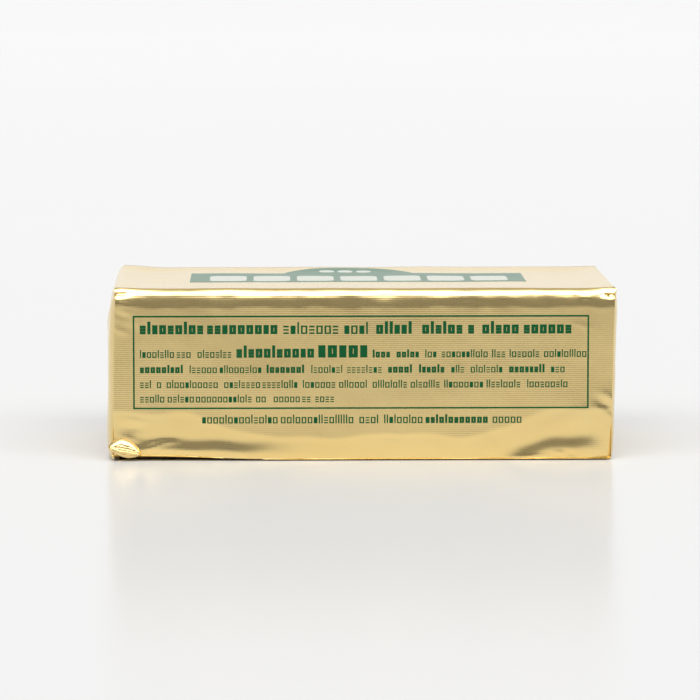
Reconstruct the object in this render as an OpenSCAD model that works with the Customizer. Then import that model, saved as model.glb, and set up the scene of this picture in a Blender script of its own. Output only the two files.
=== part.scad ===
// A half-pound block of butter in its foil wrapper.
// The sheet covers the top and both long sides in one piece, folds into a pair of
// crossed gussets on each end, and closes with overlapping flaps under the base.
// X runs along the block, -Y is the front, Z is up, and the block stands on z = 0.

/* [Block] */
// Length between the upright creases at the two ends
block_l = 114; // [90:0.2:140]
// Depth between the front and back creases
block_w = 56.6; // [44:0.2:80]
// Height from the resting plane to the top panel
block_h = 39.4; // [28:0.2:56]
// Sideways lean of the top over the base
lean = 0.8; // [0:0.1:2]

/* [Edges] */
// Height of the rolled edge along the top of each long side
roll_h = 2.4; // [1.6:0.2:6]
// Reach of that rolled edge in over the top panel
roll_w = 1.6; // [1:0.2:4]
// Radius of the long edges at the base
base_r = 1.2; // [0.8:0.1:4]
// Radius of the edges round each end
end_r = 0.8; // [0.4:0.1:2]

/* [Swell] */
// Swell of each end past its creases
end_swell = 1; // [0:0.1:2.5]
// Swell of the front and back panels
side_swell = 0.35; // [0:0.05:1]
// Sag of the middle of the top panel below its rim
top_sag = 0.45; // [0:0.05:1]
// Width of the rim round the top panel
rim_w = 7; // [3:0.5:12]

/* [Folds] */
// Height that one folded layer of foil adds
fold_t = 0.15; // [0.1:0.05:0.5]
// Width of the overlapped seam under the base
seam_w = 17; // [8:1:30]
// Reach of each end flap under the base
end_flap = 15; // [8:0.5:24]
// Rise of the pinched foil at the top corners
pinch_h = 0.3; // [0:0.05:1]
// Bulge of the tuck that is crumpled at the front's lower left corner
tuck = 0.5; // [0:0.1:1.5]

/* [Dents] */
// Depth of the hollow above the lip at the front's lower left
left_hollow = 0.7; // [0:0.1:1.5]
// Depth of the hollow at the front's lower right
right_hollow = 0.8; // [0:0.1:1.5]
// Depth of the knock in the front's right-hand crease
knock = 0.7; // [0:0.1:1.5]

/* [Hidden] */

half_l = block_l / 2;
half_w = block_w / 2;
// Two layers of flaps lie between the sheet and the resting plane.
sheet_z = 2 * fold_t;

// Numbers of steps along each stretch of the outline and of the length.
arc_steps = 3;
roll_steps = 4;
side_steps = 9;
across_steps = 14;
length_steps = 30;
cap_rings = 7;

// 0 below a, 1 above b, and smooth between them
function ease(a, b, v) =
    let (t = min(1, max(0, (v - a) / (b - a)))) t * t * (3 - 2 * t);
// 1 at the middle of a span of the given half width, 0 at its ends
function crown(v, half) = 1 - pow(min(1, abs(v) / half), 4);
// 1 at v = 0, falling to 0 at the given reach on each side
function mound(v, reach) = 1 - ease(0, reach, abs(v));
// Distance from point p to the line through a and b, seen flat
function off_line(p, a, b) =
    let (d = (b - a) / norm(b - a)) abs(d.x * (p.y - a.y) - d.y * (p.x - a.x));
// Share of the way from a to b at which p lies
function along(p, a, b) = (p - a) * (b - a) / ((b - a) * (b - a));
// A straight hollow from a to b, 1 deep, that fades out at both ends
function groove(p, a, b, reach) =
    mound(off_line(p, a, b), reach) * mound(along(p, a, b) - 0.5, 0.62);

// One quarter of an ellipse, as [y, z, normal y, normal z]
function bend(cy, cz, ry, rz, from, to, steps) =
    [for (i = [0 : steps])
        let (a = from + (to - from) * i / steps,
             n = [cos(a) / ry, sin(a) / rz] / norm([cos(a) / ry, sin(a) / rz]))
        [cy + ry * cos(a), cz + rz * sin(a), n.x, n.y]];
// A straight stretch between two bends, without its own ends
function stretch(a, b, steps, ny, nz) =
    [for (i = [1 : steps - 1])
        [a.x + (b.x - a.x) * i / steps, a.y + (b.y - a.y) * i / steps, ny, nz]];

// The outline of the block seen along its length, from the base round the back,
// over the top and down the front.
flat_w = half_w - base_r;
top_w = half_w - roll_w;
low_z = sheet_z + base_r;
high_z = block_h - roll_h;
outline = concat(
    stretch([-flat_w, sheet_z], [flat_w, sheet_z], across_steps, 0, -1),
    bend(flat_w, low_z, base_r, base_r, -90, 0, arc_steps),
    stretch([half_w, low_z], [half_w, high_z], side_steps, 1, 0),
    bend(top_w, high_z, roll_w, roll_h, 0, 90, roll_steps),
    stretch([top_w, block_h], [-top_w, block_h], across_steps, 0, 1),
    bend(-top_w, high_z, roll_w, roll_h, 90, 180, roll_steps),
    stretch([-half_w, high_z], [-half_w, low_z], side_steps, -1, 0),
    bend(-flat_w, low_z, base_r, base_r, 180, 270, arc_steps));
count = len(outline);

// Stations along the length, as [x, inset from the outline].
straight_l = half_l - end_r;
function end_bend(side, order) =
    [for (i = order)
        let (a = 90 * i / arc_steps)
        [side * (straight_l + end_r * sin(a)), end_r * (1 - cos(a))]];
stations = concat(
    end_bend(-1, [arc_steps : -1 : 1]),
    [for (i = [0 : length_steps]) [straight_l * (2 * i / length_steps - 1), 0]],
    end_bend(1, [1 : arc_steps]));

// Hollows and the knock in the front panel, at p = [x, z].
lip_z = sheet_z + 4.2;
function front_dents(p) =
    -left_hollow * groove(p, [-half_l, lip_z + 0.6], [-half_l * 0.35, lip_z + 0.4], 3)
    - right_hollow * groove(p, [half_l * 0.5, lip_z - 1], [half_l * 1.1, lip_z + 1.5], 3.5)
    - knock * groove(p, [half_l * 0.9, block_h * 0.38], [half_l * 1.1, block_h * 0.24], 3);
// The top panel sags inside its rim, and its corners are pinched up.
function top_relief(x, y) =
    pinch_h * ease(rim_w, 0, half_l - abs(x)) * ease(rim_w, 0, half_w - abs(y))
    - top_sag * ease(0, rim_w, half_l - abs(x)) * ease(0, rim_w, top_w - abs(y));
// Outward movement of the sheet at r on the outline; the base stays flat.
function relief(x, r) =
    let (middle_z = (low_z + high_z) / 2)
    r[3] < -0.01 ? 0
    : r[3] > 0.99 ? top_relief(x, r[0])
    : side_swell * crown(x, half_l) * crown(r[1] - middle_z, block_h / 2)
        + (r[2] < 0 ? front_dents([x, r[1]]) : 0);
// The top leans over the base, about the height at which the gussets cross.
cross_z = block_h - half_w;
function lean_over(p) = [p.x + lean * (p.z - cross_z) / block_h, p.y, p.z];

function sheet_point(station, r) =
    let (out = (station[1] < end_r ? relief(station[0], r) : 0) - station[1])
    lean_over([station[0], r[0] + r[2] * out, r[1] + r[3] * out]);

// On each end the panel from the top shows as a triangle between two gussets, whose
// free edges run down at 45 degrees from the top corners and cross.
function gusset_layers(y, z) =
    ease(-0.4, 0.4, half_w - y - (block_h - z)) < 1 || ease(-0.4, 0.4, half_w + y - (block_h - z)) < 1
    ? 2 - ease(-0.4, 0.4, half_w - y - (block_h - z)) - ease(-0.4, 0.4, half_w + y - (block_h - z))
    : 0;
function tuck_bulge(side, y, z) =
    side < 0 ? tuck * mound(y + flat_w, 5) * mound(z - low_z, 5) : 0;
function end_point(side, share, r) =
    let (edge = [r[0] - r[2] * end_r, r[1] - r[3] * end_r],
         y = edge.x * share,
         z = cross_z + (edge.y - cross_z) * share,
         rise = end_swell * (1 - pow(share, 5)) + fold_t * gusset_layers(y, z)
             + tuck_bulge(side, y, z))
    lean_over([side * (half_l + rise), y, z]);
shares = [for (i = [1 : cap_rings]) pow(i / (cap_rings + 1), 0.7)];
function end_ring(side, share) = [for (r = outline) end_point(side, share, r)];

module foil_sheet() {
    rings = concat(
        [for (share = shares) end_ring(-1, share)],
        [for (station = stations) [for (r = outline) sheet_point(station, r)]],
        [for (i = [cap_rings - 1 : -1 : 0]) end_ring(1, shares[i])]);
    pole = half_l + end_swell + 2 * fold_t;
    last = len(rings) * count;
    points = concat([for (ring = rings) each ring], [[-pole, 0, cross_z], [pole, 0, cross_z]]);
    walls = [for (k = [0 : len(rings) - 2], i = [0 : count - 1])
        let (j = (i + 1) % count, a = k * count, b = a + count)
        each [[a + i, b + j, a + j], [a + i, b + i, b + j]]];
    left_fan = [for (i = [0 : count - 1]) [last, i, (i + 1) % count]];
    right_fan = [for (i = [0 : count - 1])
        [last + 1, last - count + (i + 1) % count, last - count + i]];
    color("#c8ad66") polyhedron(points, concat(walls, left_fan, right_fan));
}

// The long flaps lie on the sheet, and the seam and the end flaps lie on them.
// Each layer runs up into the block, so that all of them are one solid.
module base_flaps() {
    reach_x = straight_l;
    color("#bfa35c") {
        translate([-reach_x, -flat_w, fold_t])
            cube([2 * reach_x, 2 * flat_w, 3 * fold_t]);
        translate([-reach_x, -seam_w / 2, 0])
            cube([2 * reach_x, seam_w, 3 * fold_t]);
        for (side = [-1, 1])
            scale([side, 1, 1])
                linear_extrude(height = 3 * fold_t)
                    polygon([[reach_x, -flat_w], [reach_x, flat_w],
                        [reach_x - end_flap, flat_w - end_flap],
                        [reach_x - end_flap, end_flap - flat_w]]);
    }
}

module wrapped_block() {
    union() {
        foil_sheet();
        base_flaps();
    }
}

wrapped_block();
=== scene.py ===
"""A half-pound block of butter wrapped in gold foil, standing on a pale floor.

The frame gives the block's box. The foil is shaped round it, creased, folded at the
ends and under the base, and printed in green. Lengths here are in millimetres until
they reach a mesh, which is in metres.
"""
import math
import random

import bpy
import numpy as np
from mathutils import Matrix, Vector


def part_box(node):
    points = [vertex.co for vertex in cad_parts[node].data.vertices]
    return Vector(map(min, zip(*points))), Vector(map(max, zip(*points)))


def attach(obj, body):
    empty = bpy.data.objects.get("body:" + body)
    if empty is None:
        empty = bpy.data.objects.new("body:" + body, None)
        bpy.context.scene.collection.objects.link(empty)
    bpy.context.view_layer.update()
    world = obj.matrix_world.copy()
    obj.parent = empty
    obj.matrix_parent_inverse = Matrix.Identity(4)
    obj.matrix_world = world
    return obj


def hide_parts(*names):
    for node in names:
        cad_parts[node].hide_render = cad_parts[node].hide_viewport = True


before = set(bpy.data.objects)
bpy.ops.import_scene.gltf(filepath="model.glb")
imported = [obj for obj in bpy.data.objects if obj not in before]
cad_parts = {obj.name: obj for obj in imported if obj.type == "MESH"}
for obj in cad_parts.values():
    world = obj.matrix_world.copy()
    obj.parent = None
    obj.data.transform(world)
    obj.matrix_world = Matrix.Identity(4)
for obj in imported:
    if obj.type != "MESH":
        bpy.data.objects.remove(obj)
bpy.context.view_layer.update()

MM = 0.001

# ---------------------------------------------------------------- the block's sizes
LOW, HIGH = (tuple(v / MM for v in corner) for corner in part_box("wrapped_block"))
# How far the ends and the sides swell past the creases that bound them.
END_SWELL = 1.3
SIDE_SWELL = 0.35
HALF_L = (HIGH[0] - LOW[0]) / 2 - END_SWELL
HALF_W = (HIGH[1] - LOW[1]) / 2 - SIDE_SWELL
TOP_Z = 39.4
# The underside of the sheet, which rests on the flaps under it.
SHEET_Z = 0.30
# The rolled top edge reaches this far down the side and in over the top.
ROLL_H = 2.4
ROLL_W = 1.6
BASE_R = 0.3
END_R = 0.5
# The top leans over the base, about the height at which the end gussets cross.
LEAN = 0.8
CROSS_Z = TOP_Z - HALF_W
# Cuts along each axis, so that a crease on the front is several steps wide.
CUTS = ((0, 236), (2, 86), (1, 66))
# The ink stands this far off the foil under it and is this thick, both more than the
# real ink so that it stays clear of the foil. A folded layer of foil has its own.
INK_LIFT = 0.035
INK_T = 0.04
FOIL_T = 0.09
# Printed shapes are drawn this far off the foil, and then laid on it.
PRINT_OFF = 6


# ---------------------------------------------------------------- modelling helpers
def activate(piece):
    bpy.ops.object.select_all(action="DESELECT")
    piece.select_set(True)
    bpy.context.view_layer.objects.active = piece


def clear_selection(piece):
    activate(piece)
    bpy.ops.object.mode_set(mode="EDIT")
    bpy.ops.mesh.select_all(action="DESELECT")
    bpy.ops.object.mode_set(mode="OBJECT")


def apply_modifier(piece, kind, **settings):
    """Adds one modifier with its settings and applies it."""
    activate(piece)
    modifier = piece.modifiers.new(kind.lower(), kind)
    for name, value in settings.items():
        setattr(modifier, name, value)
    bpy.ops.object.modifier_apply(modifier=modifier.name)


def settle(piece):
    """Puts the piece's place and turn into its mesh."""
    activate(piece)
    bpy.ops.object.transform_apply(location=True, rotation=True, scale=True)


def positions(mesh):
    """The mesh's points in millimetres, one row each."""
    flat = np.empty(len(mesh.vertices) * 3)
    mesh.vertices.foreach_get("co", flat)
    return flat.reshape(-1, 3) / MM


def move_points(mesh, points):
    mesh.vertices.foreach_set("co", (points * MM).ravel())
    mesh.update()


def edge_ends(mesh):
    pairs = np.empty(len(mesh.edges) * 2, dtype=int)
    mesh.edges.foreach_get("vertices", pairs)
    return positions(mesh)[pairs.reshape(-1, 2)]


def select_edges(piece, keep):
    """Selects the edges that keep picks by their ends, and stays in edit mode."""
    clear_selection(piece)
    ends = edge_ends(piece.data)
    piece.data.edges.foreach_set("select", keep(ends[:, 0], ends[:, 1]))
    bpy.ops.object.mode_set(mode="EDIT")
    bpy.ops.mesh.select_mode(type="EDGE")


def cut_along(piece, axis, cuts, shortest=12):
    """Splits every edge longer than shortest that runs along the axis into equal steps."""
    def runs_along(a, b):
        step = np.abs(b - a)
        return (step[:, axis] > shortest) & (step.sum(axis=1) < step[:, axis] * 1.2)
    select_edges(piece, runs_along)
    bpy.ops.mesh.subdivide(number_cuts=cuts)
    bpy.ops.object.mode_set(mode="OBJECT")


def agree_on_outside(piece):
    """Makes the piece's faces agree on which way is out."""
    activate(piece)
    bpy.ops.object.mode_set(mode="EDIT")
    bpy.ops.mesh.select_all(action="SELECT")
    bpy.ops.mesh.normals_make_consistent(inside=False)
    bpy.ops.object.mode_set(mode="OBJECT")


def smooth(piece, degrees=40):
    activate(piece)
    bpy.ops.object.shade_smooth_by_angle(angle=math.radians(degrees))


# ---------------------------------------------------------------- shapes of a crease
def ease(low, high, value):
    """0 below low, 1 above high, and smooth between them."""
    t = np.clip((value - low) / (high - low), 0, 1)
    return t * t * (3 - 2 * t)


def mound(value, reach):
    """1 at 0, falling smoothly to 0 at reach on both sides."""
    return 1 - ease(0, reach, np.abs(value))


def crease(u, v, start, end, reach, crisp):
    """1 on the line from start to end, fading to 0 at reach and at the line's ends.

    crisp is 0 for a soft hollow and 1 for a sharp fold.
    """
    du, dv = end[0] - start[0], end[1] - start[1]
    length = math.hypot(du, dv)
    share = ((u - start[0]) * du + (v - start[1]) * dv) / length ** 2
    off = np.abs((u - start[0]) * dv - (v - start[1]) * du) / length
    sharp = np.clip(1 - off / reach, 0, 1) ** 1.5
    return (crisp * sharp + (1 - crisp) * mound(off, reach)) * mound(share - 0.5, 0.62)


def unevenness(u, v, seed, wave, count=7):
    """Gentle waviness of about 1 either way, and wave mm from crest to crest."""
    rng = random.Random(seed)
    total = 0
    for _ in range(count):
        turn = rng.uniform(0, math.tau)
        step = math.tau / (wave * rng.uniform(0.6, 1.7))
        phase = rng.uniform(0, math.tau)
        total = total + np.sin(step * (u * math.cos(turn) + v * math.sin(turn)) + phase)
    return total / count ** 0.5


# ---------------------------------------------------------------- the foil's form
def rounded_block():
    """A box with rolled top edges, softer base edges and tight creases at its ends."""
    bpy.ops.mesh.primitive_cube_add(
        size=1, location=(0, 0, (TOP_Z + SHEET_Z) / 2 * MM),
        scale=(2 * HALF_L * MM, 2 * HALF_W * MM, (TOP_Z - SHEET_Z) * MM))
    block = bpy.context.object
    settle(block)
    ends = edge_ends(block.data)
    along_x = np.abs(ends[:, 0, 0] - ends[:, 1, 0]) > 1
    at_top = ends[:, :, 2].min(axis=1) > TOP_Z / 2
    weights = np.where(along_x, np.where(at_top, 1.0, BASE_R / ROLL_H), END_R / ROLL_H)
    weight_layer = block.data.attributes.new("bevel_weight_edge", "FLOAT", "EDGE")
    weight_layer.data.foreach_set("value", weights)
    apply_modifier(block, "BEVEL", limit_method="WEIGHT", width=ROLL_H * MM, segments=8)
    # The roll reaches less far in over the top than it reaches down the side.
    for side in (-1, 1):
        def on_roll(a, b):
            def inside(p):
                return (side * p[:, 1] > HALF_W - ROLL_H - 0.01) & (p[:, 2] > TOP_Z - ROLL_H - 0.01)
            return inside(a) & inside(b)
        select_edges(block, on_roll)
        bpy.ops.transform.resize(value=(1, ROLL_W / ROLL_H, 1),
                                 center_override=(0, side * HALF_W * MM, 0))
        bpy.ops.object.mode_set(mode="OBJECT")
    for axis, cuts in CUTS:
        cut_along(block, axis, cuts)
    block.name = "foil_sheet"
    return block


# Folds and dents of the front panel: where each starts and ends, as (along, up), how
# far it stands out (or in, below 0), its reach to each side and how crisp it is.
FRONT_FOLDS = (
    ((-56.4, 37.3), (-56.4, 5.3), -0.20, 0.7, 0.6),
    ((-56.8, 37.2), (-51.0, 30.2), 0.10, 1.3, 0.8),
    ((-57.0, 34.2), (-52.6, 32.3), -0.08, 0.9, 0.8),
    ((-57.5, 31.1), (-53.6, 28.7), 0.08, 0.9, 0.8),
    ((-55.6, 7.9), (-49.6, 7.3), -0.20, 1.5, 0.3),
    ((-55.2, 10.0), (-49.0, 8.8), 0.10, 1.1, 0.3),
    ((4.2, 5.9), (8.8, 4.9), -0.10, 0.8, 0.9),
    ((31.2, 0.6), (27.6, 6.7), 0.16, 1.3, 0.8),
    ((31.4, 0.7), (46.6, 1.2), 0.10, 0.6, 0.9),
    ((38.0, 5.3), (56.0, 13.4), 0.10, 3.0, 0.3),
    ((-50.4, 1.9), (-44.6, 5.0), 0.24, 1.3, 0.3),
    ((-46.4, 4.2), (-41.0, 4.7), 0.14, 1.1, 0.3),
    ((-56.2, 6.0), (-50.4, 4.4), 0.26, 1.3, 0.4),
    ((52.6, 11.2), (54.2, 1.6), -0.14, 1.6, 0.3),
    ((-57.0, 38.0), (-54.0, 38.3), -0.95, 0.6, 0.3),
    ((54.2, 38.0), (57.2, 37.7), -0.95, 0.6, 0.3),
    ((48.4, 38.7), (50.4, 36.8), 0.30, 0.6, 0.8),
    ((-57.0, 36.6), (-53.0, 35.6), 0.12, 0.9, 0.6),
    ((-54.0, 38.0), (-30.0, 38.8), 0.05, 0.7, 0.8),
    ((46.2, 2.5), (48.6, 0.6), -0.25, 0.9, 0.9),
    ((44.2, 1.8), (46.6, 1.5), 0.25, 0.7, 0.9),
    ((53.8, 14.9), (57.4, 10.2), -0.45, 1.3, 0.6),
    ((53.0, 13.4), (56.8, 9.2), 0.16, 1.0, 0.7),
    ((54.8, 16.1), (57.6, 13.0), 0.16, 1.0, 0.8),
    ((47.0, 32.1), (51.4, 29.9), 0.06, 0.6, 0.9),
    ((48.6, 38.2), (50.6, 37.0), 0.12, 0.7, 0.9),
)
# Dips of the bright rolled edge: where each is along the block, its half width and depth.
EDGE_DIPS = (
    (-50.0, 6, 0.07), (-38.0, 3, 0.03), (-31.0, 8, 0.04), (-17.0, 5, 0.04), (4.5, 4, 0.12),
    (9.0, 2, 0.05), (23.0, 7, -0.06), (37.0, 5, 0.05), (44.0, 2, 0.05), (48.0, 3, 0.08),
)
# How far the front and the back crown in their middles.
FRONT_CROWN = 0.25
BACK_CROWN = 0.30
# The shoulder under the roll, and how steeply it and the foot of the front lean back.
SHOULDER_Z = 35.35
SHOULDER_H = 2.4
TURN_SLOPE = 0.125
# How far the foil stands out over the base below the two hollows of the front.
LEFT_LIP = 0.68
RIGHT_LIP = 0.74
# The rim round the top panel, the sag inside it and the rise of its corners.
RIM_W = 7
TOP_SAG = 0.45
CORNER_RISE = 0.20
# Soft folds of the top panel: start and end in plan, height and reach to each side.
TOP_FOLDS = (((-56, -20), (-38, 26), 0.18, 3), ((50, 20), (56, -26), 0.14, 4))
# How far the front of the base lifts at its left end.
BASE_LIFT = 0.85


def lower_edge_height(x):
    """Height at which the front starts to turn in towards the base."""
    ripple = 0.5 * np.sin(x / 6.1) + 0.25 * np.sin(x / 2.2 + 1)
    return 6.1 + 5.8 * ease(-25, -43, x) + 5.8 * ease(22, 46, x) + ripple


def crown(x, z):
    """1 in the middle of the front or the back, and about a fifth halfway along an edge."""
    return (1 - (x / 60) ** 4) * (1 - ((z - 20) / 22) ** 2)


def front_relief(x, z):
    """How far the front panel stands out, in mm."""
    below = np.maximum(0, lower_edge_height(x) - z)
    out = FRONT_CROWN * crown(x, z)
    # A shoulder leans back under the roll, then the roll turns over the top.
    shoulder = SHOULDER_Z + 0.16 * np.sin(x / 2.3) + 0.10 * np.sin(x / 0.9 + 2)
    out = out - TURN_SLOPE * np.clip(z - shoulder, 0, SHOULDER_H)
    for at, half, depth in EDGE_DIPS:
        out = out - depth * mound(x - at, half) * mound(z - 37.8, 1.8)
    out = out - TURN_SLOPE * below * ease(0, 1.4, below)
    # Over the left part the foil is pinched in above a lip that runs along the base.
    brow = 5.6 - 0.6 * ease(-44, -20, x) + 0.15 * np.sin(x / 1.9)
    out = out + LEFT_LIP * ease(-8, -32, x) * ease(brow, brow - 3.7, z)
    # A like hollow widens to the right from a fold near the base.
    brow = 2.2 + 3.9 * ease(30, 45, x) + 0.15 * np.sin(x / 1.3)
    out = out + RIGHT_LIP * ease(30.5, 38, x) * ease(57, 50, x) * ease(brow, brow - 4.1, z)
    for start, end, height, reach, crisp in FRONT_FOLDS:
        out = out + height * crease(x, z, start, end, reach, crisp)
    return (out + 0.035 * unevenness(x, z * 1.6, 3, 22)
            + (0.006 + 0.020 * ease(33, 37, z)) * unevenness(x, z * 1.4, 5, 4.5))


def back_relief(x, z):
    """How far the back panel stands out, plainer than the front."""
    out = BACK_CROWN * crown(x, z)
    out = out - 0.30 * ease(35.4, 37.8, z) - 0.08 * np.maximum(0, 9 - z)
    return out + 0.05 * unevenness(x, z, 11, 18) + 0.008 * unevenness(x, z, 13, 5)


def top_relief(x, y):
    """How far the top panel stands up: a rim round a sagging middle, pinched corners."""
    along, across = HALF_L - np.abs(x), HALF_W - np.abs(y)
    rise = CORNER_RISE * ease(RIM_W, 0, along) * ease(RIM_W, 0, across)
    rise = rise - TOP_SAG * ease(0, RIM_W, along) * ease(1.4, 9, across)
    rise = rise + 0.10 * mound(across - 1.5, 0.9)
    rise = rise + 0.4 * ease(-46, -56, x) * ease(14, 27, y)
    for start, end, height, reach in TOP_FOLDS:
        rise = rise + height * crease(x, y, start, end, reach, 0.5)
    return rise + 0.05 * unevenness(x, y, 17, 24) + 0.008 * unevenness(x, y, 19, 6)


def end_relief(side, y, z):
    """How far an end stands out between its creases, fuller at the left's back corner."""
    near = np.clip(np.abs(y) / HALF_W, 0, 1)
    tall = np.clip(np.abs(z - 19) / 21, 0, 1)
    swell = (1.5 if side < 0 else 0.75) * (1 - near ** 8) * (1 - tall ** 6)
    swell = swell - 0.35 * mound(1 - near, 0.05)
    if side < 0:
        swell = swell + 0.5 * ease(0, 22, y) * ease(24, 38, z)
    return swell + 0.06 * unevenness(y, z, 23 + side, 14)


def lean_over(points):
    """Shifts the points along the block with their height, as the block leans."""
    points[:, 0] += LEAN * (points[:, 2] - CROSS_Z) / TOP_Z
    return points


def shape_foil(block):
    """Moves each panel's points out by its relief, then leans the whole over."""
    mesh = block.data
    flat = np.empty(len(mesh.vertices) * 3)
    mesh.vertices.foreach_get("normal", flat)
    n = flat.reshape(-1, 3)
    p = positions(mesh)
    x, y, z = p.T.copy()
    p[:, 1] -= ease(0.05, 0.9, -n[:, 1]) * front_relief(x, z)
    p[:, 1] += ease(0.05, 0.9, n[:, 1]) * back_relief(x, z)
    p[:, 2] += ease(0.4, 0.98, n[:, 2]) * top_relief(x, y)
    for side in (-1, 1):
        p[:, 0] += side * ease(0.3, 0.95, side * n[:, 0]) * end_relief(side, y, z)
    # The front of the base lifts off the table towards the left.
    at_front = ease(-HALF_W + 4, -HALF_W, y)
    p[:, 2] += BASE_LIFT * ease(-14, -52, x) * at_front * ease(3.4, 0.2, z)
    move_points(mesh, lean_over(p))


def unwrap_sheet(piece):
    """Lays the foil out flat, in centimetres: u along the block, v round it."""
    mesh = piece.data
    p = positions(mesh)
    layer = mesh.uv_layers.get("sheet") or mesh.uv_layers.new(name="sheet")
    corners = np.empty(len(mesh.loops), dtype=int)
    mesh.loops.foreach_get("vertex_index", corners)
    sizes = np.empty(len(mesh.polygons), dtype=int)
    mesh.polygons.foreach_get("loop_total", sizes)
    normals = np.empty(len(mesh.polygons) * 3)
    mesh.polygons.foreach_get("normal", normals)
    n = np.repeat(normals.reshape(-1, 3), sizes, axis=0)
    x, y, z = p[corners].T
    level = np.abs(n[:, 2]) > 0.75
    on_end = np.abs(n[:, 0]) > 0.7
    u = np.where(on_end, y, x)
    v = np.where(level & ~on_end, TOP_Z + HALF_W + y, z)
    layer.data.foreach_set("uv", np.stack((u, v), axis=1).ravel() / 10)


# ---------------------------------------------------------------- folded layers
# A gusset's sheet stops this far short of the end's sides, this far above the table and
# this far below the block's top. At the block's side its free edge would start
# GUSSET_EDGE below the top.
GUSSET_INSET = 0.5
GUSSET_FOOT = 0.4
GUSSET_HEAD = 0.8
GUSSET_EDGE = 0.6


def gusset_sheet(name, hand):
    """A flat sheet, local x across the end and local y up it, cut off at 45 degrees."""
    bpy.ops.mesh.primitive_grid_add(x_subdivisions=64, y_subdivisions=44, size=1)
    flap = bpy.context.object
    flap.name = name
    bpy.ops.object.mode_set(mode="EDIT")
    bpy.ops.mesh.select_all(action="SELECT")
    height = TOP_Z - GUSSET_FOOT - GUSSET_HEAD
    bpy.ops.transform.resize(value=(2 * (HALF_W - GUSSET_INSET) * MM, height * MM, 1))
    bpy.ops.transform.translate(value=(0, (GUSSET_FOOT + height / 2) * MM, 0))
    bpy.ops.mesh.bisect(plane_co=(hand * HALF_W * MM, (TOP_Z - GUSSET_EDGE) * MM, 0),
                        plane_no=(-hand, 1, 0), clear_outer=True)
    bpy.ops.object.mode_set(mode="OBJECT")
    return flap


def end_gusset(side, back):
    """One of the two crossed flaps on an end: a triangle with a free edge at 45 degrees."""
    hand = 1 if back else -1
    name = ("right" if side > 0 else "left") + ("_back" if back else "_front") + "_gusset"
    flap = gusset_sheet(name, hand)
    mesh = flap.data
    p = positions(mesh)
    y, z = p[:, 0].copy(), p[:, 1].copy()
    free = (TOP_Z - GUSSET_EDGE - z) - (HALF_W - hand * y)
    # The back gusset lies on the front one where they cross, and both lift at the edge.
    layer = 0.10 + (0.14 if back else 0.0) * ease(-2, 3, HALF_W + hand * y - 14)
    lift = 0.22 * mound(free, 2.2) * ease(0, 9, HALF_W - hand * y)
    out = HALF_L + end_relief(side, y, z) + layer + lift + 0.03 * unevenness(y, z, 31 + hand, 9)
    # Towards the block's edges they go down into the foil.
    settled = np.minimum(HALF_W - np.abs(y), np.minimum(z, TOP_Z - z))
    out = out - 0.45 * ease(2.4, 0, settled)
    move_points(mesh, lean_over(np.stack((side * out, y, z), axis=1)))
    agree_on_outside(flap)
    if mesh.polygons[0].normal.x * side < 0:
        mesh.flip_normals()
    apply_modifier(flap, "SOLIDIFY", thickness=FOIL_T * MM, offset=-1)
    return flap


def base_flap(name, outline, low, high):
    """One flap folded flat under the base: its outline pulled up to its thickness."""
    bpy.ops.mesh.primitive_plane_add(size=1)
    flap = bpy.context.object
    flap.name = name
    corners = np.array([outline[i] + (low,) for i in (0, 1, 3, 2)], dtype=float)
    move_points(flap.data, corners)
    bpy.ops.object.mode_set(mode="EDIT")
    bpy.ops.mesh.select_all(action="SELECT")
    bpy.ops.mesh.subdivide(number_cuts=14)
    bpy.ops.mesh.extrude_region_move(TRANSFORM_OT_translate={"value": (0, 0, (high - low) * MM)})
    bpy.ops.object.mode_set(mode="OBJECT")
    agree_on_outside(flap)
    return flap


# The base flaps: how far from the block's ends and sides they stop, the seam's half
# width, how far an end flap reaches in, and the lowest and highest point of each.
FLAP_END_GAP = 1.4
FLAP_SIDE_GAP = 0.6
SEAM_HALF_W = 8.5
END_FLAP = 15
SEAM_LEVELS = (0.1, 0.38)
END_FLAP_LEVELS = (0.0, 0.16)


def base_flaps():
    """The overlapped seam along the base, and an end flap folded over it at each end."""
    reach = HALF_L - FLAP_END_GAP
    flat = HALF_W - BASE_R - FLAP_SIDE_GAP
    outline = ((-reach, -SEAM_HALF_W), (reach, -SEAM_HALF_W), (reach, SEAM_HALF_W), (-reach, SEAM_HALF_W))
    flaps = [base_flap("long_seam", outline, *SEAM_LEVELS)]
    for side in (-1, 1):
        inner = side * (reach - END_FLAP)
        outline = ((side * reach, -flat), (inner, -(flat - END_FLAP)),
                   (inner, flat - END_FLAP), (side * reach, flat))
        name = "end_flap_" + ("right" if side > 0 else "left")
        flaps.append(base_flap(name, outline, *END_FLAP_LEVELS))
    return flaps


# The foil crumpled at the front's lower left corner: nested leaves between two tips,
# each bowed up or down, with its width, how far it stands out and how it faces.
TUCK_TIPS = ((-58.0, 3.3), (-50.6, 1.8))
TUCKED_LEAVES = (
    ("tuck_back", 1.55, 1.9, 0.16, -0.42),
    ("tuck_crown", 0.85, 1.0, 0.42, -0.38),
    ("tuck_brow", 0.15, 0.80, 0.62, -0.10),
    ("tuck_middle", -0.45, 0.80, 0.74, 0.10),
    ("tuck_lip", -1.10, 0.95, 0.52, 0.40),
)


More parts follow.
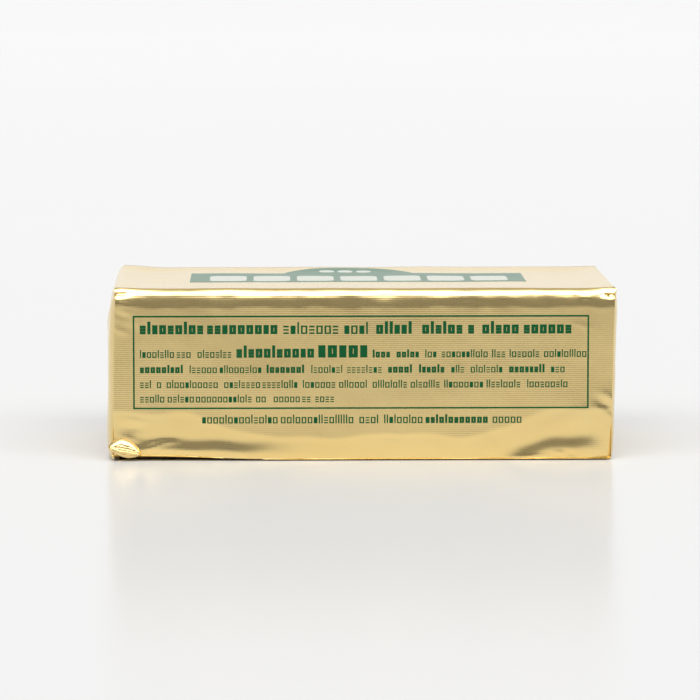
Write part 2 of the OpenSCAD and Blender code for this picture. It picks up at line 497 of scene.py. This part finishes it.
def tucked_leaf(name, bow, width, stand, facing):
    """A narrow pointed leaf of foil, bowed along, arched across and wrinkled."""
    bpy.ops.mesh.primitive_grid_add(x_subdivisions=48, y_subdivisions=12, size=1)
    leaf = bpy.context.object
    leaf.name = name
    p = positions(leaf.data) * MM
    s, t = p[:, 0] + 0.5, p[:, 1]
    (left, left_z), (right, right_z) = TUCK_TIPS
    full = np.sin(math.pi * np.clip(s, 0.02, 0.98)) ** 0.6
    wrinkle = 0.035 * unevenness(s * 9, t * 2, len(name) + 40, 3)
    x = left + (right - left) * s
    z = left_z + (right_z - left_z) * s + bow * full + t * width * full + wrinkle
    out = stand * full + 0.22 * full * (1 - 4 * t * t) + facing * t * width + wrinkle
    move_points(leaf.data, np.stack((x, -HALF_W + 0.15 - out, z), axis=1))
    if leaf.data.polygons[0].normal.y > 0:
        leaf.data.flip_normals()
    apply_modifier(leaf, "SOLIDIFY", thickness=FOIL_T * MM, offset=-1)
    return leaf


# ---------------------------------------------------------------- the printing
def new_print(name):
    """An empty printed piece, open for shapes to be added to it."""
    bpy.ops.mesh.primitive_plane_add(size=MM)
    piece = bpy.context.object
    piece.name = name
    bpy.ops.object.mode_set(mode="EDIT")
    bpy.ops.mesh.select_all(action="SELECT")
    bpy.ops.mesh.delete(type="VERT")
    return piece


def bar(x, z, width, height):
    """A plain upright bar of ink in the plane of the front, by its lower left corner."""
    middle = ((x + width / 2) * MM, 0, (z + height / 2) * MM)
    bpy.ops.mesh.primitive_plane_add(size=MM, location=middle, rotation=(math.pi / 2, 0, 0))
    bpy.ops.transform.resize(value=(width, 1, height), center_override=middle)


# The kinds of mark, as often as each is drawn, and the width of each and the height
# of all but the bar, as shares of the row's height.
TILE_KINDS = ("window", "bar", "window", "dashes", "window", "bar", "block", "window", "dashes")
TILE_WIDTHS = {"block": 0.42, "dashes": 0.46, "window": 0.54}
TILE_LOW = 0.72
# The level strokes of a dash and of a window, as shares of an upright stroke.
DASH_STROKE = 0.9
WINDOW_STROKE = 0.8


def tile(kind, x, z, height, stroke):
    """One generic mark of a printed row. Returns the width that it takes."""
    if kind == "bar":
        bar(x, z, stroke, height)
        return stroke
    low = height * TILE_LOW
    width = height * TILE_WIDTHS[kind]
    if kind == "block":
        bar(x, z, width, low)
    elif kind == "dashes":
        for step in range(3):
            bar(x, z + step * (low - stroke) / 2, width, stroke * DASH_STROKE)
    else:
        level = stroke * WINDOW_STROKE
        bar(x, z, stroke, low)
        bar(x + width - stroke, z, stroke, low)
        bar(x + stroke, z, width - 2 * stroke, level)
        bar(x + stroke, z + low - level, width - 2 * stroke, level)
    return width


def marks(rng, left, right, z, height, bold):
    """A group of generic marks from left to right, drawn at random, spelling nothing."""
    stroke = height * (0.25 if bold else 0.15)
    gap = height * (0.13 if bold else 0.15)
    x = left
    while x < right - height * 0.3:
        x += tile(rng.choice(TILE_KINDS), x, z, height, stroke) + gap


# Rows of the front panel, each with its height above the table, and its groups of marks
# as (left, right, height of a mark, bold).
FRONT_ROWS = (
    (29.16, (
        (-49.8, -35.8, 2.9, True), (-34.6, -18.8, 2.9, True), (-17.4, -4.6, 2.7, False),
        (-3.6, 2.5, 2.7, False), (3.6, 12.8, 2.9, True), (14.0, 23.0, 2.9, True),
        (24.4, 26.0, 2.9, True), (27.6, 35.6, 2.9, True), (37.0, 47.4, 2.9, True),
    )),
    (23.79, (
        (-49.8, -42.4, 1.8, False), (-41.5, -37.6, 1.8, False), (-36.8, -28.6, 1.8, False),
        (-28.0, -10.8, 2.8, True), (-9.5, 1.8, 3.9, True), (2.8, 7.4, 1.8, True),
        (8.2, 13.8, 1.8, True), (14.7, 17.6, 1.8, False), (18.4, 29.1, 1.8, False),
        (29.8, 33.0, 1.8, False), (33.8, 40.9, 1.8, False), (41.6, 51.0, 1.8, False),
    )),
    (20.27, (
        (-49.8, -39.5, 1.9, True), (-38.6, -32.6, 1.8, False), (-31.8, -21.9, 1.8, False),
        (-21.2, -12.2, 1.9, True), (-11.1, -3.8, 1.8, False), (-3.0, 5.4, 1.8, False),
        (6.3, 12.4, 1.9, True), (13.3, 19.6, 1.9, True), (20.6, 24.2, 1.8, False),
        (25.0, 32.7, 1.8, False), (33.7, 42.4, 1.9, True), (43.2, 46.2, 1.8, False),
    )),
    (16.86, (
        (-49.8, -46.8, 1.8, False), (-46.0, -44.6, 1.8, False), (-43.8, -31.6, 1.8, False),
        (-30.8, -22.9, 1.8, False), (-22.2, -13.8, 1.8, False), (-13.0, -5.6, 1.8, False),
        (-4.8, 2.0, 1.8, False), (2.8, 10.6, 1.8, False), (11.4, 18.2, 1.8, False),
        (19.0, 27.8, 1.8, False), (28.6, 37.0, 1.8, False), (37.8, 46.6, 1.8, False),
    )),
    (13.55, (
        (-49.8, -44.4, 1.8, False), (-43.6, -38.0, 1.8, False), (-37.2, -24.4, 1.8, False),
        (-23.6, -20.6, 1.8, False), (-19.6, -14.0, 1.8, False), (-13.2, -11.0, 1.8, False),
        (-10.2, -6.0, 1.8, False),
    )),
    (8.69, (
        (-35.8, -18.8, 2.0, False), (-18.0, -1.0, 2.0, False), (-0.2, 4.6, 2.0, False),
        (5.4, 14.0, 2.0, False), (14.8, 29.2, 2.0, True), (30.0, 36.2, 2.0, False),
    )),
)
# The rows' places are stretched along the panel by the first, then moved by the second.
ROW_STRETCH = 1.006
ROW_SHIFT = -0.6
# The border's left, lower, right and upper edges, and its line's width.
FRAME_LINE = (-52.3, 12.0, 51.5, 33.4)
FRAME_T = 0.38


def frame_line(low_x, low_z, high_x, high_z):
    """A printed border: a panel inset by the line's width, its middle taken out."""
    bpy.ops.mesh.select_all(action="DESELECT")
    bar(low_x, low_z, high_x - low_x, high_z - low_z)
    bpy.ops.mesh.inset(thickness=FRAME_T * MM, use_boundary=True)
    bpy.ops.mesh.delete(type="FACE")


def cling(piece, block, axis, positive):
    """Lays the printed shapes on the foil along one axis and gives the ink its body."""
    if bpy.context.mode == "EDIT_MESH":
        bpy.ops.object.mode_set(mode="OBJECT")
    apply_modifier(piece, "SHRINKWRAP", target=block, wrap_method="PROJECT",
                   use_project_x=axis == 0, use_project_y=axis == 1, use_project_z=axis == 2,
                   use_positive_direction=positive, use_negative_direction=not positive,
                   offset=INK_LIFT * MM, cull_face="BACK")
    unwrap_sheet(piece)
    apply_modifier(piece, "SOLIDIFY", thickness=INK_T * MM, offset=-1)


def split_long_edges(piece):
    """Cuts the border's long lines so that they can follow the foil."""
    bpy.ops.object.mode_set(mode="OBJECT")
    for axis in (0, 2):
        cut_along(piece, axis, 95, shortest=10)


def front_print(block):
    """The border and the rows of generic marks, drawn flat and laid on the front."""
    piece = new_print("front_print")
    rng = random.Random(8)
    frame_line(*FRAME_LINE)
    split_long_edges(piece)
    bpy.ops.object.mode_set(mode="EDIT")
    for z, groups in FRONT_ROWS:
        for left, right, height, bold in groups:
            marks(rng, left * ROW_STRETCH + ROW_SHIFT, right * ROW_STRETCH + ROW_SHIFT,
                  z, height, bold)
    # Each mark is cut finely enough to follow the foil where the panel turns.
    bpy.ops.mesh.select_all(action="SELECT")
    bpy.ops.mesh.subdivide(number_cuts=2)
    bpy.ops.object.mode_set(mode="OBJECT")
    p = positions(piece.data)
    p[:, 1] = -HALF_W - PRINT_OFF
    move_points(piece.data, p)
    cling(piece, block, 1, True)
    return piece


# The green field in plan: its length and middle, its front and back edges, and the
# middle, half width and rise of the arch behind.
FIELD_L, FIELD_MIDDLE = 78.4, -1.0
FIELD_FRONT, FIELD_BACK = -5.9, 15.4
ARCH_MIDDLE, ARCH_HALF, ARCH_RISE = -3.0, 15, 10.4
# The whole field then goes this far to the right.
FIELD_SHIFT = 0.4


def green_field(block):
    """The band of colour on the top panel: straight in front, arched behind."""
    bpy.ops.mesh.primitive_grid_add(x_subdivisions=110, y_subdivisions=40, size=1)
    field = bpy.context.object
    field.name = "green_field"
    p = positions(field.data) * MM
    x = p[:, 0] * FIELD_L + FIELD_MIDDLE
    arch = np.sqrt(np.clip(1 - ((x - ARCH_MIDDLE) / ARCH_HALF) ** 2, 0, 1))
    back = FIELD_BACK + ARCH_RISE * arch
    y = FIELD_FRONT + (p[:, 1] + 0.5) * (back - FIELD_FRONT)
    z = np.full_like(x, TOP_Z + PRINT_OFF)
    move_points(field.data, np.stack((x + FIELD_SHIFT, y, z), axis=1))
    if field.data.polygons[0].normal.z < 0:
        field.data.flip_normals()
    cling(field, block, 2, False)
    return field


# Two even rows of equal pale bars on the green field, seen in plan, each as
# (number, left edge of the first, front edge, width, depth, gap).
PALE_ROWS = ((7, -35.2, -3.8, 8.6, 12.2, 1.6), (3, -9.4, 17.2, 3.6, 4.4, 0.8))
PALE_BAR_ROUND = 1.7
PALE_BAR_RIM = 0.3


def pale_bars(block):
    """Even rows of rounded pale bars lying on the green field."""
    piece = new_print("pale_bars")
    for number, left, front, width, depth, gap in PALE_ROWS:
        for step in range(number):
            x = left + step * (width + gap) + width / 2
            middle = (x * MM, (front + depth / 2) * MM, (TOP_Z + PRINT_OFF) * MM)
            bpy.ops.mesh.select_all(action="DESELECT")
            bpy.ops.mesh.primitive_plane_add(size=MM, location=middle)
            bpy.ops.transform.resize(value=(width, depth, 1), center_override=middle)
            rounding = min(PALE_BAR_ROUND, width / 2.2)
            bpy.ops.mesh.bevel(offset=rounding * MM, affect="VERTICES", segments=7)
            bpy.ops.mesh.inset(thickness=PALE_BAR_RIM * MM)
    bpy.ops.object.mode_set(mode="OBJECT")
    cling(piece, block, 2, False)
    # The bars lie on the green ink, so they go up by its thickness.
    p = positions(piece.data)
    p[:, 2] += INK_T
    move_points(piece.data, p)
    return piece


# ---------------------------------------------------------------- materials
def linear(code):
    """An sRGB hex colour as linear red, green, blue and alpha."""
    values = [int(code[i:i + 2], 16) / 255 for i in (1, 3, 5)]
    return tuple(c / 12.92 if c <= 0.04045 else ((c + 0.055) / 1.055) ** 2.4 for c in values) + (1.0,)


def add(tree, kind, inputs=None, **settings):
    """Adds one node. An input takes a number, a colour or another node's output."""
    made = tree.nodes.new(kind)
    for name, value in settings.items():
        setattr(made, name, value)
    for name, value in (inputs or {}).items():
        if isinstance(value, bpy.types.NodeSocket):
            tree.links.new(value, made.inputs[name])
        else:
            made.inputs[name].default_value = value
    return made


def new_material(name):
    material = bpy.data.materials.new(name)
    material.use_nodes = True
    material.node_tree.nodes.clear()
    return material, material.node_tree


def calc(tree, operation, *values):
    return add(tree, "ShaderNodeMath", dict(enumerate(values)), operation=operation).outputs[0]


def blend(tree, share, first, second):
    return add(tree, "ShaderNodeMix", {0: share, 6: first, 7: second}, data_type="RGBA").outputs[2]


# The embossing's ribs and the dots along them are this far apart. Finer ones would not
# show in a render.
RIB_STEP = 0.46
DOT_STEP = 0.62
DOT_SHARE = 0.6
EMBOSS_STRENGTH = 0.075
EMBOSS_DEPTH = 0.00004
# The foil's unwrapped sheet is measured in centimetres.
CM = 10


def embossing(tree):
    """Fine ribs along the block, broken into dots, pressed into the foil."""
    uv = add(tree, "ShaderNodeUVMap", uv_map="sheet").outputs[0]
    parts = add(tree, "ShaderNodeSeparateXYZ", {0: uv})
    ribs = calc(tree, "SINE", calc(tree, "MULTIPLY", parts.outputs[1], math.tau * CM / RIB_STEP))
    dots = calc(tree, "SINE", calc(tree, "MULTIPLY", parts.outputs[0], math.tau * CM / DOT_STEP))
    return calc(tree, "MULTIPLY_ADD", dots, DOT_SHARE, ribs)


def gold_foil():
    """Aluminium foil, rolled, lacquered gold and embossed.

    The metal mirrors the studio in warm bands. The lacquer over it adds a paler, softer
    reflection, and the embossing keeps both from being sharp.
    """
    material, tree = new_material("gold_lacquered_aluminium_foil_embossed")
    relief = embossing(tree)
    spot = add(tree, "ShaderNodeTexCoord").outputs["Object"]
    cloud = add(tree, "ShaderNodeTexNoise", {"Vector": spot, "Scale": 90.0, "Detail": 3.0}).outputs[0]
    tint = blend(tree, cloud, linear("#EDD08C"), linear("#F3DB9A"))
    bump = add(tree, "ShaderNodeBump", {
        "Height": relief, "Strength": EMBOSS_STRENGTH, "Distance": EMBOSS_DEPTH})
    shader = add(tree, "ShaderNodeBsdfPrincipled", {
        "Base Color": tint, "Metallic": 1.0, "Roughness": 0.22, "Coat Weight": 0.4,
        "Coat Roughness": 0.25, "Normal": bump.outputs[0]})
    add(tree, "ShaderNodeOutputMaterial", {0: shader.outputs[0]})
    return material


def ink(name, dark, light, roughness, ior):
    """Ink printed thin on the foil: it hides the metal and keeps the embossing.

    The eye gets a flat colour, a little cloudy where the ink took unevenly.
    """
    material, tree = new_material(name)
    relief = embossing(tree)
    spot = add(tree, "ShaderNodeTexCoord").outputs["Object"]
    cloud = add(tree, "ShaderNodeTexNoise", {"Vector": spot, "Scale": 700.0, "Detail": 2.0}).outputs[0]
    bump = add(tree, "ShaderNodeBump", {
        "Height": relief, "Strength": EMBOSS_STRENGTH, "Distance": EMBOSS_DEPTH})
    shader = add(tree, "ShaderNodeBsdfPrincipled", {
        "Base Color": blend(tree, cloud, linear(dark), linear(light)), "Metallic": 0.0,
        "Roughness": roughness, "IOR": ior, "Normal": bump.outputs[0]})
    add(tree, "ShaderNodeOutputMaterial", {0: shader.outputs[0]})
    return material


def pale_floor():
    """Cast white acrylic sheet with a satin face.

    It mirrors the block faintly, and the mirror image blurs away from it. The IOR is
    below that of acrylic, to keep the image as faint as it has to be.
    """
    material, tree = new_material("white_acrylic_sheet_satin")
    spot = add(tree, "ShaderNodeTexCoord").outputs["Object"]
    cloud = add(tree, "ShaderNodeTexNoise", {"Vector": spot, "Scale": 3.0}).outputs[0]
    tint = blend(tree, cloud, linear("#D7D7D7"), linear("#D9D9D9"))
    shader = add(tree, "ShaderNodeBsdfPrincipled", {
        "Base Color": tint, "Roughness": 0.2, "IOR": 1.1})
    add(tree, "ShaderNodeOutputMaterial", {0: shader.outputs[0]})
    return material


# ---------------------------------------------------------------- light and camera
# Brightness of the studio from the horizon in front, over the top, to the horizon
# behind, each with its share of that half turn.
STUDIO_LEVELS = (
    (0.0, 0.13), (0.06, 0.21), (0.15, 0.21), (0.19, 4.1), (0.33, 4.1),
    (0.40, 0.45), (0.62, 0.5), (0.86, 0.93), (1.0, 0.93),
)
# Towards either side, between these two shares of the way, it falls from the first of
# these two levels to the second.
SIDE_REACH = (0.35, 0.95)
SIDE_LEVELS = (1.06, 0.66)
# A long lens, in front of the block, a little left of its middle and looking down on it.
LENS_MM = 199.6
SENSOR_MM = 36
EYE = (-0.02035, -0.9057, 0.1232)
TARGET = (-0.00295, -0.0287, 0.02551)
# The floor's width and how far behind the block its middle lies, in metres.
FLOOR_SPAN = 24
FLOOR_BACK = 4


def studio_world():
    """A pale backdrop behind, a dim room in front and a long lamp above the front."""
    world = bpy.data.worlds.new("studio")
    bpy.context.scene.world = world
    world.use_nodes = True
    tree = world.node_tree
    tree.nodes.clear()
    ray = add(tree, "ShaderNodeTexCoord").outputs["Generated"]
    parts = add(tree, "ShaderNodeSeparateXYZ", {0: ray})
    forward = calc(tree, "MULTIPLY", parts.outputs[1], -1.0)
    share = calc(tree, "DIVIDE", calc(tree, "ARCTAN2", parts.outputs[2], forward), math.pi)
    ramp = add(tree, "ShaderNodeValToRGB", {0: share})
    stops = ramp.color_ramp.elements
    stops[0].position = STUDIO_LEVELS[0][0]
    stops[1].position = STUDIO_LEVELS[-1][0]
    for position, _ in STUDIO_LEVELS[1:-1]:
        stops.new(position)
    for stop, (_, level) in zip(stops, STUDIO_LEVELS):
        stop.color = (level, level, level, 1)
    # The room is dimmer to both sides.
    aside = add(tree, "ShaderNodeMapRange", {
        0: calc(tree, "ABSOLUTE", parts.outputs[0]), 1: SIDE_REACH[0], 2: SIDE_REACH[1],
        3: SIDE_LEVELS[0], 4: SIDE_LEVELS[1]}).outputs[0]
    shader = add(tree, "ShaderNodeBackground", {0: ramp.outputs[0], 1: aside})
    add(tree, "ShaderNodeOutputWorld", {0: shader.outputs[0]})


def set_camera():
    data = bpy.data.cameras.new("camera")
    data.lens = LENS_MM
    data.sensor_width = SENSOR_MM
    camera = bpy.data.objects.new("camera", data)
    bpy.context.collection.objects.link(camera)
    eye, target = Vector(EYE), Vector(TARGET)
    camera.location = eye
    camera.rotation_euler = (target - eye).to_track_quat("-Z", "Y").to_euler()
    bpy.context.scene.camera = camera


def lay_floor():
    bpy.ops.mesh.primitive_plane_add(size=FLOOR_SPAN, location=(0, FLOOR_BACK, 0))
    floor = bpy.context.object
    floor.name = "floor"
    settle(floor)
    floor.data.materials.append(pale_floor())


def finish_piece(piece, material):
    """Smooths a piece, gives it its material, and says what it stands for."""
    smooth(piece)
    piece.data.materials.clear()
    piece.data.materials.append(material)
    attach(piece, "root")
    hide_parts("wrapped_block")


def build():
    """The foil sheet first, then the folded layers, then the print laid on it."""
    # The text's ink is dull and dark. The field's has a gloss varnish, so that at a low
    # angle it mirrors the pale backdrop. The white is thin, and so a little grey and green.
    foil = gold_foil()
    text_ink = ink("green_flexographic_ink_on_foil", "#02441F", "#05522A", 0.5, 1.25)
    field_ink = ink("green_ink_under_gloss_varnish", "#0B5A36", "#12663F", 0.3, 1.7)
    pale_ink = ink("white_flexographic_ink", "#C6C9BE", "#CED1C6", 0.4, 1.5)
    block = rounded_block()
    unwrap_sheet(block)
    shape_foil(block)
    finish_piece(block, foil)
    layers = [end_gusset(side, back) for side in (-1, 1) for back in (False, True)]
    layers += base_flaps()
    layers += [tucked_leaf(*leaf) for leaf in TUCKED_LEAVES]
    for layer in layers:
        unwrap_sheet(layer)
        finish_piece(layer, foil)
    finish_piece(front_print(block), text_ink)
    finish_piece(green_field(block), field_ink)
    finish_piece(pale_bars(block), pale_ink)


set_camera()
build()
lay_floor()
studio_world()
bpy.context.scene.view_settings.view_transform = "Standard"
